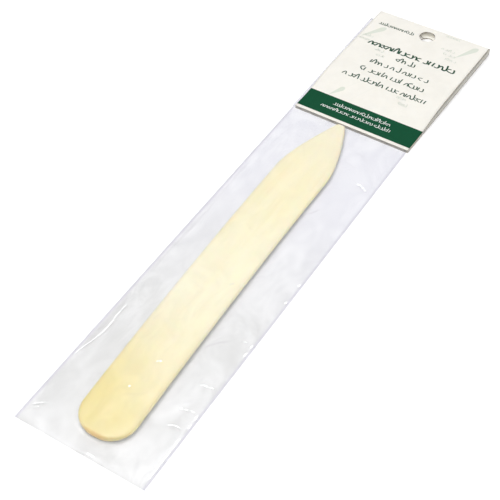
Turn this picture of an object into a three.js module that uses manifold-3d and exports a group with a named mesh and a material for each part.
// A bone folder in its shop pack: one shaped slip of bone lies in a flat clear film bag,
// and a folded header card with a hang hole is taped over the neck of the bag.
// Millimetres, +Z up. The pack lies on its back, with its length along +Y and the card at the +Y end.
// The model is laid out from the middle of the bag's bottom edge, then moved so that the origin is
// the centre of the whole pack's footprint, on the surface that it lies on.

import * as THREE from 'three';
import { mergeVertices } from 'three/addons/utils/BufferGeometryUtils.js';
import Module from 'manifold-3d';

const wasm = await Module();
wasm.setup();

// ---- driving dimensions ----

// Bone folder: u runs along its own axis from the round butt to the point.
const FOLDER_LENGTH = 159.7;
const FOLDER_HALF_WIDTH = 10.54;
const FOLDER_THICKNESS = 2.8;
const FOLDER_START = new THREE.Vector2(1.3, 6.6);
const FOLDER_TURN = THREE.MathUtils.degToRad(1.3);
const FOLDER_BOW = 1.17;
const BUTT_RUN = 9.6;
const BUTT_EXPONENT = 2.13;
const TIP_RUN = 29.6;
const TIP_EXPONENT = 1.52;
const TIP_RADIUS = 1.5;
const TIP_THICKNESS = 2.0;
const TIP_THINS_FROM = 112;
const END_ROUNDING = 1.2;
const FACE_EXPONENT = 6;
const EDGE_EXPONENT = 2.2;
const FOLDER_TRAVEL = 2.5;

// Film bag: two walls of film, welded along both sides and the bottom.
const BAG_WIDTH = 50.8;
const WELD_WIDTH = 1.6;
const FILM = 0.1;
const BAG_MOUTH_Y = 231.2;

// Header card: one board folded at the top, so that it has a back and a front panel.
const CARD_WIDTH = 50;
const CARD_HEIGHT = 68;
const CARD_BOARD = 0.45;
const CARD_FOLD_HEIGHT = 3.5;
const CARD_CORNER = new THREE.Vector2(0.8, 166.85);
const CARD_TURN = THREE.MathUtils.degToRad(-1.52);
const CARD_FLAT_LIP = 5;
const CARD_RISE_RUN = 24;
const HOLE_RADIUS = 3.175;
const HOLE_TO_FOLD = 6.8;
const FOLD_SPLIT = 0.06;

// Tape: a strip inside each panel, next to the lip, holds the neck of the bag.
const TAPE = 0.1;
const TAPE_LENGTH = 44;
const TAPE_WIDTH = 4;
const TAPE_FROM_LIP = 0.6;

// Clearances.
const STACK_GAP = 0.02;
const REST_GAP = 0.1;
const SIDE_CLEARANCE = 0.35;
const NECK_CLEARANCE = 0.2;
const NECK_RAMP = 1.5;

// ---- heights of the stack ----

const BACK_TAPE_Z = CARD_BOARD + STACK_GAP;
const NECK_BACK_Z = BACK_TAPE_Z + TAPE + STACK_GAP;
const NECK_FRONT_Z = NECK_BACK_Z + FILM + STACK_GAP;
const FRONT_TAPE_Z = NECK_FRONT_Z + FILM + STACK_GAP;
const FRONT_PANEL_Z = FRONT_TAPE_Z + TAPE + STACK_GAP;
const FOLDER_Z = FILM + REST_GAP;
const HALF_BAG = BAG_WIDTH / 2;
const WELD_X = HALF_BAG - WELD_WIDTH;
const FOLD_RADIUS = CARD_FOLD_HEIGHT / 2;

// ---- the bone folder's shape ----

// Half the folder's width at u: a round butt, straight sides and a pointed arch with a blunt tip.
function halfWidth(u) {
  if (u <= 0 || u >= FOLDER_LENGTH) {
    return 0;
  }
  const butt = Math.max(BUTT_RUN - u, 0) / BUTT_RUN;
  const buttHalf = FOLDER_HALF_WIDTH * (1 - butt ** BUTT_EXPONENT) ** (1 / BUTT_EXPONENT);
  const along = Math.max(u - (FOLDER_LENGTH - TIP_RUN), 0) / TIP_RUN;
  const tipHalf = TIP_RADIUS + (FOLDER_HALF_WIDTH - TIP_RADIUS) * (1 - along ** TIP_EXPONENT);
  const toEnd = Math.min((FOLDER_LENGTH - u) / TIP_RADIUS, 1);
  const cap = tipHalf * Math.sqrt(1 - (1 - toEnd) ** 2);
  return Math.min(buttHalf, cap);
}

// The whole folder bends a little sideways, most at the middle.
function centreLine(u) {
  const s = THREE.MathUtils.clamp(u / FOLDER_LENGTH, 0, 1);
  return -FOLDER_BOW * (1 - (2 * s - 1) ** 2);
}

// Thickness at u, without the rounding of the ends.
function bodyThickness(u) {
  const s = THREE.MathUtils.smoothstep(u, TIP_THINS_FROM, FOLDER_LENGTH);
  return THREE.MathUtils.lerp(FOLDER_THICKNESS, TIP_THICKNESS, s);
}

// How much of the thickness is left close to either end.
function endRounding(u) {
  const near = Math.min(u, FOLDER_LENGTH - u, END_ROUNDING) / END_ROUNDING;
  return Math.sqrt(Math.max(1 - (1 - near) ** 2, 0));
}

// One cross-section as a ring of points: nearly flat faces and well rounded edges.
function folderSection(u, sides) {
  const half = halfWidth(u);
  const halfThickness = (bodyThickness(u) / 2) * endRounding(u);
  const middle = FOLDER_Z + bodyThickness(u) / 2;
  const ring = [];
  for (let i = 0; i < sides; i += 1) {
    const angle = (2 * Math.PI * (i + 0.5)) / sides;
    const across = Math.cos(angle);
    const upward = Math.sin(angle);
    const x = half * Math.sign(across) * Math.abs(across) ** (2 / FACE_EXPONENT);
    const z = halfThickness * Math.sign(upward) * Math.abs(upward) ** (2 / EDGE_EXPONENT);
    ring.push(new THREE.Vector3(centreLine(u) + x, u, middle + z));
  }
  return ring;
}

// Stations along the folder, close together at the butt and the point.
function folderStations() {
  const stations = [];
  const buttSteps = 9;
  const bodySteps = 12;
  const tipSteps = 18;
  const tipStart = FOLDER_LENGTH - TIP_RUN;
  for (let i = 1; i <= buttSteps; i += 1) {
    stations.push(BUTT_RUN * (i / buttSteps) ** 2);
  }
  for (let i = 1; i <= bodySteps; i += 1) {
    stations.push(THREE.MathUtils.lerp(BUTT_RUN, tipStart, i / bodySteps));
  }
  for (let i = 1; i < tipSteps; i += 1) {
    stations.push(FOLDER_LENGTH - TIP_RUN * (1 - i / tipSteps) ** 1.7);
  }
  return stations;
}

function folderGeometry() {
  const sides = 20;
  const rings = folderStations().map((u) => folderSection(u, sides));
  const buttPole = new THREE.Vector3(centreLine(0), 0, FOLDER_Z + bodyThickness(0) / 2);
  const tipPole = new THREE.Vector3(
    centreLine(FOLDER_LENGTH), FOLDER_LENGTH, FOLDER_Z + bodyThickness(FOLDER_LENGTH) / 2);
  const positions = [];
  rings.flat().forEach((p) => positions.push(p.x, p.y, p.z));
  const butt = rings.length * sides;
  positions.push(...buttPole.toArray(), ...tipPole.toArray());
  const last = (rings.length - 1) * sides;
  const index = [];
  for (let i = 0; i < sides; i += 1) {
    const next = (i + 1) % sides;
    index.push(butt, i, next);
    index.push(butt + 1, last + next, last + i);
    for (let r = 0; r < rings.length - 1; r += 1) {
      const here = r * sides;
      const there = here + sides;
      index.push(here + i, there + i, there + next);
      index.push(here + i, there + next, here + next);
    }
  }
  return indexedGeometry(positions, index);
}

// ---- film walls ----

// The card's lip as a line across the bag.
function lipY(x) {
  return CARD_CORNER.y + (x - CARD_CORNER.x) * Math.tan(CARD_TURN);
}

// Height of the back wall's lower face: on the table, then up a short ramp onto the back panel.
function backWallZ(x, y) {
  const rampEnd = lipY(x) - NECK_CLEARANCE;
  const s = THREE.MathUtils.clamp((y - rampEnd + NECK_RAMP) / NECK_RAMP, 0, 1);
  return s * NECK_BACK_Z;
}

// The floor plan that the front wall must clear: the folder at every point of its slide.
function clearedSpan(y) {
  const u = (y - FOLDER_START.y) / Math.cos(FOLDER_TURN);
  const half = Math.max(halfWidth(u), halfWidth(u + FOLDER_TRAVEL));
  const centre = FOLDER_START.x + centreLine(u) - u * Math.sin(FOLDER_TURN);
  return { centre, half: half > 0 ? half + SIDE_CLEARANCE : 0 };
}

const SPAN_START = FOLDER_START.y - FOLDER_TRAVEL + 0.15;
const SPAN_END = FOLDER_START.y + FOLDER_LENGTH * Math.cos(FOLDER_TURN) - 0.1;

function clearedOutline() {
  const outline = [];
  const steps = 160;
  for (let i = 0; i <= steps; i += 1) {
    const s = (1 - Math.cos((Math.PI * i) / steps)) / 2;
    const y = THREE.MathUtils.lerp(SPAN_START, SPAN_END, s);
    const span = clearedSpan(y);
    outline.push(new THREE.Vector2(span.centre - span.half, y));
    outline.unshift(new THREE.Vector2(span.centre + span.half, y));
  }
  return outline;
}

function distanceToOutline(x, y, outline) {
  const span = clearedSpan(THREE.MathUtils.clamp(y, SPAN_START, SPAN_END));
  if (y >= SPAN_START && y <= SPAN_END && Math.abs(x - span.centre) <= span.half) {
    return 0;
  }
  let best = Infinity;
  const point = new THREE.Vector2(x, y);
  for (let i = 0; i < outline.length; i += 1) {
    const a = outline[i];
    const b = outline[(i + 1) % outline.length];
    const run = b.clone().sub(a);
    const t = THREE.MathUtils.clamp(point.clone().sub(a).dot(run) / run.lengthSq(), 0, 1);
    best = Math.min(best, a.clone().addScaledVector(run, t).distanceTo(point));
  }
  return best;
}

function distanceToBorder(x, y) {
  const toSide = WELD_X - Math.abs(x);
  const toBottom = y - WELD_WIDTH;
  const toNeck = lipY(x) - NECK_CLEARANCE - y;
  return Math.max(Math.min(toSide, toBottom, toNeck), 0);
}

// The front wall is drawn straight from the folder's edge down to the nearest weld or the neck.
function frontWallZ(x, y, outline) {
  const base = backWallZ(x, y) + FILM + STACK_GAP;
  const toBorder = distanceToBorder(x, y);
  if (toBorder === 0) {
    return base;
  }
  const u = THREE.MathUtils.clamp(y - FOLDER_START.y, 0, FOLDER_LENGTH);
  const overFolder = FOLDER_Z + bodyThickness(u) + REST_GAP;
  const share = toBorder / (toBorder + distanceToOutline(x, y, outline));
  return THREE.MathUtils.lerp(base, overFolder, share);
}

// Columns across the front wall at height y: weld, slope, over the folder, slope, weld.
function frontColumns(y) {
  const span = clearedSpan(THREE.MathUtils.clamp(y, SPAN_START, SPAN_END));
  const left = span.centre - span.half;
  const right = span.centre + span.half;
  const slope = [0, 0.25, 0.5, 0.75];
  return [
    -HALF_BAG,
    ...slope.map((s) => THREE.MathUtils.lerp(-WELD_X, left, s)),
    left,
    span.centre - span.half / 2,
    span.centre,
    span.centre + span.half / 2,
    right,
    ...slope.map((s) => THREE.MathUtils.lerp(WELD_X, right, s)).reverse(),
    HALF_BAG,
  ];
}

// Rows along the front wall, measured up from the bottom edge or down from the card's lip.
function frontRows() {
  const rows = [0, WELD_WIDTH];
  const buttRise = [0.5, 1, 1.25, 1.7, 2.4, 3.4, 5, 7.5, 11, 15];
  buttRise.forEach((s) => rows.push(WELD_WIDTH + (SPAN_START - WELD_WIDTH) * s));
  const bodyEnd = FOLDER_START.y + FOLDER_LENGTH - TIP_RUN;
  const bodyStart = rows[rows.length - 1];
  const bodySteps = 9;
  for (let i = 1; i <= bodySteps; i += 1) {
    rows.push(THREE.MathUtils.lerp(bodyStart, bodyEnd, i / bodySteps));
  }
  const tipSteps = 9;
  const tipEnd = CARD_CORNER.y - NECK_CLEARANCE - NECK_RAMP;
  for (let i = 1; i < tipSteps; i += 1) {
    rows.push(tipEnd - (tipEnd - bodyEnd) * (1 - i / tipSteps) ** 1.3);
  }
  return rows.map((y) => () => y);
}

// Rows at the neck run parallel to the card's lip.
function neckRows() {
  const below = [NECK_RAMP, NECK_RAMP / 2, 0.25, 0];
  const rows = below.map((drop) => (x) => lipY(x) - NECK_CLEARANCE - drop);
  rows.push(() => (CARD_CORNER.y + BAG_MOUTH_Y) / 2);
  rows.push(() => BAG_MOUTH_Y);
  return rows;
}

function frontFilmGeometry() {
  const outline = clearedOutline();
  const rows = [...frontRows(), ...neckRows()];
  const grid = rows.map((rowY) => {
    const columns = frontColumns(rowY(0));
    return columns.map((x) => {
      const y = rowY(x);
      return new THREE.Vector3(x, y, frontWallZ(x, y, outline));
    });
  });
  return punched(sheetGeometry(grid, FILM));
}

function backFilmGeometry() {
  const rows = [() => 0, () => CARD_CORNER.y / 2, ...neckRows()];
  const columns = [-HALF_BAG, -HALF_BAG / 3, HALF_BAG / 3, HALF_BAG];
  const grid = rows.map((rowY) => columns.map((x) => new THREE.Vector3(x, rowY(x), backWallZ(x, rowY(x)))));
  return punched(sheetGeometry(grid, FILM));
}

// ---- header card and tape, in the card's own frame: lip along X, fold at y = CARD_HEIGHT ----

// Side view of the back panel: flat, then the lower quarter of the fold.
function backPanelProfile() {
  const bendY = CARD_HEIGHT - FOLD_RADIUS;
  const cut = FOLD_SPLIT / 2 / FOLD_RADIUS;
  const profile = new THREE.Shape();
  profile.moveTo(0, 0);
  profile.lineTo(bendY, 0);
  profile.absarc(bendY, FOLD_RADIUS, FOLD_RADIUS, -Math.PI / 2, -cut, false);
  profile.absarc(bendY, FOLD_RADIUS, FOLD_RADIUS - CARD_BOARD, -cut, -Math.PI / 2, true);
  profile.lineTo(0, CARD_BOARD);
  return profile;
}

// Side view of the front panel: a flat lip, a soft rise, a level stretch and the upper quarter of the fold.
function frontPanelProfile() {
  const bendY = CARD_HEIGHT - FOLD_RADIUS;
  const cut = FOLD_SPLIT / 2 / FOLD_RADIUS;
  const low = FRONT_PANEL_Z;
  const high = CARD_FOLD_HEIGHT - CARD_BOARD;
  const riseEnd = CARD_FLAT_LIP + CARD_RISE_RUN;
  const riseMiddle = CARD_FLAT_LIP + CARD_RISE_RUN / 2;
  const profile = new THREE.Shape();
  profile.moveTo(0, low);
  profile.lineTo(CARD_FLAT_LIP, low);
  profile.bezierCurveTo(riseMiddle, low, riseMiddle, high, riseEnd, high);
  profile.lineTo(bendY, high);
  profile.absarc(bendY, FOLD_RADIUS, FOLD_RADIUS - CARD_BOARD, Math.PI / 2, cut, true);
  profile.absarc(bendY, FOLD_RADIUS, FOLD_RADIUS, cut, Math.PI / 2, false);
  profile.lineTo(riseEnd, CARD_FOLD_HEIGHT);
  profile.bezierCurveTo(
    riseMiddle, CARD_FOLD_HEIGHT, riseMiddle, low + CARD_BOARD, CARD_FLAT_LIP, low + CARD_BOARD);
  profile.lineTo(0, low + CARD_BOARD);
  return profile;
}

// A side-view profile in (y, z) drawn out across the card's width.
function panelGeometry(profile) {
  const geometry = new THREE.ExtrudeGeometry(profile, {
    depth: CARD_WIDTH, bevelEnabled: false, curveSegments: 8 });
  const yzToFront = new THREE.Matrix4().makeBasis(
    new THREE.Vector3(0, 1, 0), new THREE.Vector3(0, 0, 1), new THREE.Vector3(1, 0, 0));
  geometry.applyMatrix4(yzToFront);
  geometry.translate(-CARD_WIDTH / 2, 0, 0);
  return geometry;
}

function tapeGeometry(z) {
  const geometry = new THREE.BoxGeometry(TAPE_LENGTH, TAPE_WIDTH, TAPE);
  geometry.translate(0, TAPE_FROM_LIP + TAPE_WIDTH / 2, z + TAPE / 2);
  return geometry;
}

// ---- mesh helpers ----

function indexedGeometry(positions, index) {
  const geometry = new THREE.BufferGeometry();
  geometry.setAttribute('position', new THREE.Float32BufferAttribute(positions, 3));
  geometry.setIndex(index);
  geometry.computeVertexNormals();
  return geometry;
}

// A thin closed sheet: the grid is its lower face, and its upper face lies one thickness out along the normals.
function sheetGeometry(grid, thickness) {
  const rows = grid.length;
  const columns = grid[0].length;
  const normalAt = (r, c) => {
    if (r === 0 || c === 0 || r === rows - 1 || c === columns - 1) {
      return new THREE.Vector3(0, 0, 1);
    }
    const along = grid[r + 1][c].clone().sub(grid[r - 1][c]);
    const across = grid[r][c + 1].clone().sub(grid[r][c - 1]);
    return across.cross(along).normalize();
  };
  const positions = [];
  grid.flat().forEach((p) => positions.push(p.x, p.y, p.z));
  for (let r = 0; r < rows; r += 1) {
    for (let c = 0; c < columns; c += 1) {
      const p = grid[r][c].clone().addScaledVector(normalAt(r, c), thickness);
      positions.push(p.x, p.y, p.z);
    }
  }
  const upper = rows * columns;
  const index = [];
  for (let r = 0; r < rows - 1; r += 1) {
    for (let c = 0; c < columns - 1; c += 1) {
      const a = r * columns + c;
      const b = a + 1;
      const d = a + columns;
      const e = d + 1;
      index.push(a, d, b, b, d, e);
      index.push(upper + a, upper + b, upper + d, upper + b, upper + e, upper + d);
    }
  }
  const rim = [];
  for (let c = 0; c < columns - 1; c += 1) {
    rim.push(c);
  }
  for (let r = 0; r < rows - 1; r += 1) {
    rim.push(r * columns + columns - 1);
  }
  for (let c = columns - 1; c > 0; c -= 1) {
    rim.push((rows - 1) * columns + c);
  }
  for (let r = rows - 1; r > 0; r -= 1) {
    rim.push(r * columns);
  }
  rim.forEach((from, i) => {
    const to = rim[(i + 1) % rim.length];
    index.push(from, to, upper + to, from, upper + to, upper + from);
  });
  return indexedGeometry(positions, index);
}

function toSolid(geometry) {
  const bare = geometry.clone();
  bare.deleteAttribute('normal');
  bare.deleteAttribute('uv');
  const merged = mergeVertices(bare, 1e-4);
  return new wasm.Manifold(new wasm.Mesh({
    numProp: 3,
    vertProperties: new Float32Array(merged.getAttribute('position').array),
    triVerts: new Uint32Array(merged.getIndex().array),
  }));
}

function fromSolid(solid) {
  const mesh = solid.getMesh();
  return indexedGeometry(Array.from(mesh.vertProperties), Array.from(mesh.triVerts));
}

// The hang hole goes straight down through both panels and both films.
function holeCutter() {
  const segments = 24;
  const tall = 20;
  const cutter = new THREE.CylinderGeometry(HOLE_RADIUS, HOLE_RADIUS, tall, segments);
  cutter.rotateX(Math.PI / 2);
  cutter.translate(0, CARD_HEIGHT - HOLE_TO_FOLD, 0);
  return cutter;
}

function punchedInCard(geometry) {
  return fromSolid(toSolid(geometry).subtract(toSolid(holeCutter())));
}

function punched(geometry) {
  const cutter = holeCutter();
  cutter.rotateZ(CARD_TURN);
  cutter.translate(CARD_CORNER.x, CARD_CORNER.y, 0);
  return fromSolid(toSolid(geometry).subtract(toSolid(cutter)));
}

// ---- materials ----

function material(color, roughness, options = {}) {
  return new THREE.MeshStandardMaterial({ color, roughness, metalness: 0, ...options });
}

const filmLook = { transparent: true, opacity: 0.25 };

// ---- assembly ----

function named(name, geometry, look) {
  const mesh = new THREE.Mesh(geometry, look);
  mesh.name = name;
  return mesh;
}

const folderGroup = new THREE.Group();
folderGroup.position.set(FOLDER_START.x, FOLDER_START.y, 0);
folderGroup.rotation.z = FOLDER_TURN;
folderGroup.add(named('bone_folder', folderGeometry(), material(0xf6ecc4, 0.45)));

const cardGroup = new THREE.Group();
cardGroup.position.set(CARD_CORNER.x, CARD_CORNER.y, 0);
cardGroup.rotation.z = CARD_TURN;
cardGroup.add(
  named('header_back_panel', punchedInCard(panelGeometry(backPanelProfile())), material(0xf0efe6, 0.8)),
  named('header_front_panel', punchedInCard(panelGeometry(frontPanelProfile())), material(0xf2f1e8, 0.7)),
  named('back_tape_strip', tapeGeometry(BACK_TAPE_Z), material(0xe8e2c8, 0.4)),
  named('front_tape_strip', tapeGeometry(FRONT_TAPE_Z), material(0xe8e2c8, 0.4)),
);

const layout = new THREE.Group();
layout.add(
  folderGroup,
  cardGroup,
  named('bag_back_film', backFilmGeometry(), material(0xf2f3f6, 0.15, filmLook)),
  named('bag_front_film', frontFilmGeometry(), material(0xf2f3f6, 0.12, filmLook)),
);

// Centre the footprint on the origin.
const footprint = new THREE.Box3().setFromObject(layout, true);
const middle = footprint.getCenter(new THREE.Vector3());
layout.position.set(-middle.x, -middle.y, 0);

const pack = new THREE.Group();
pack.add(layout);

export default pack;
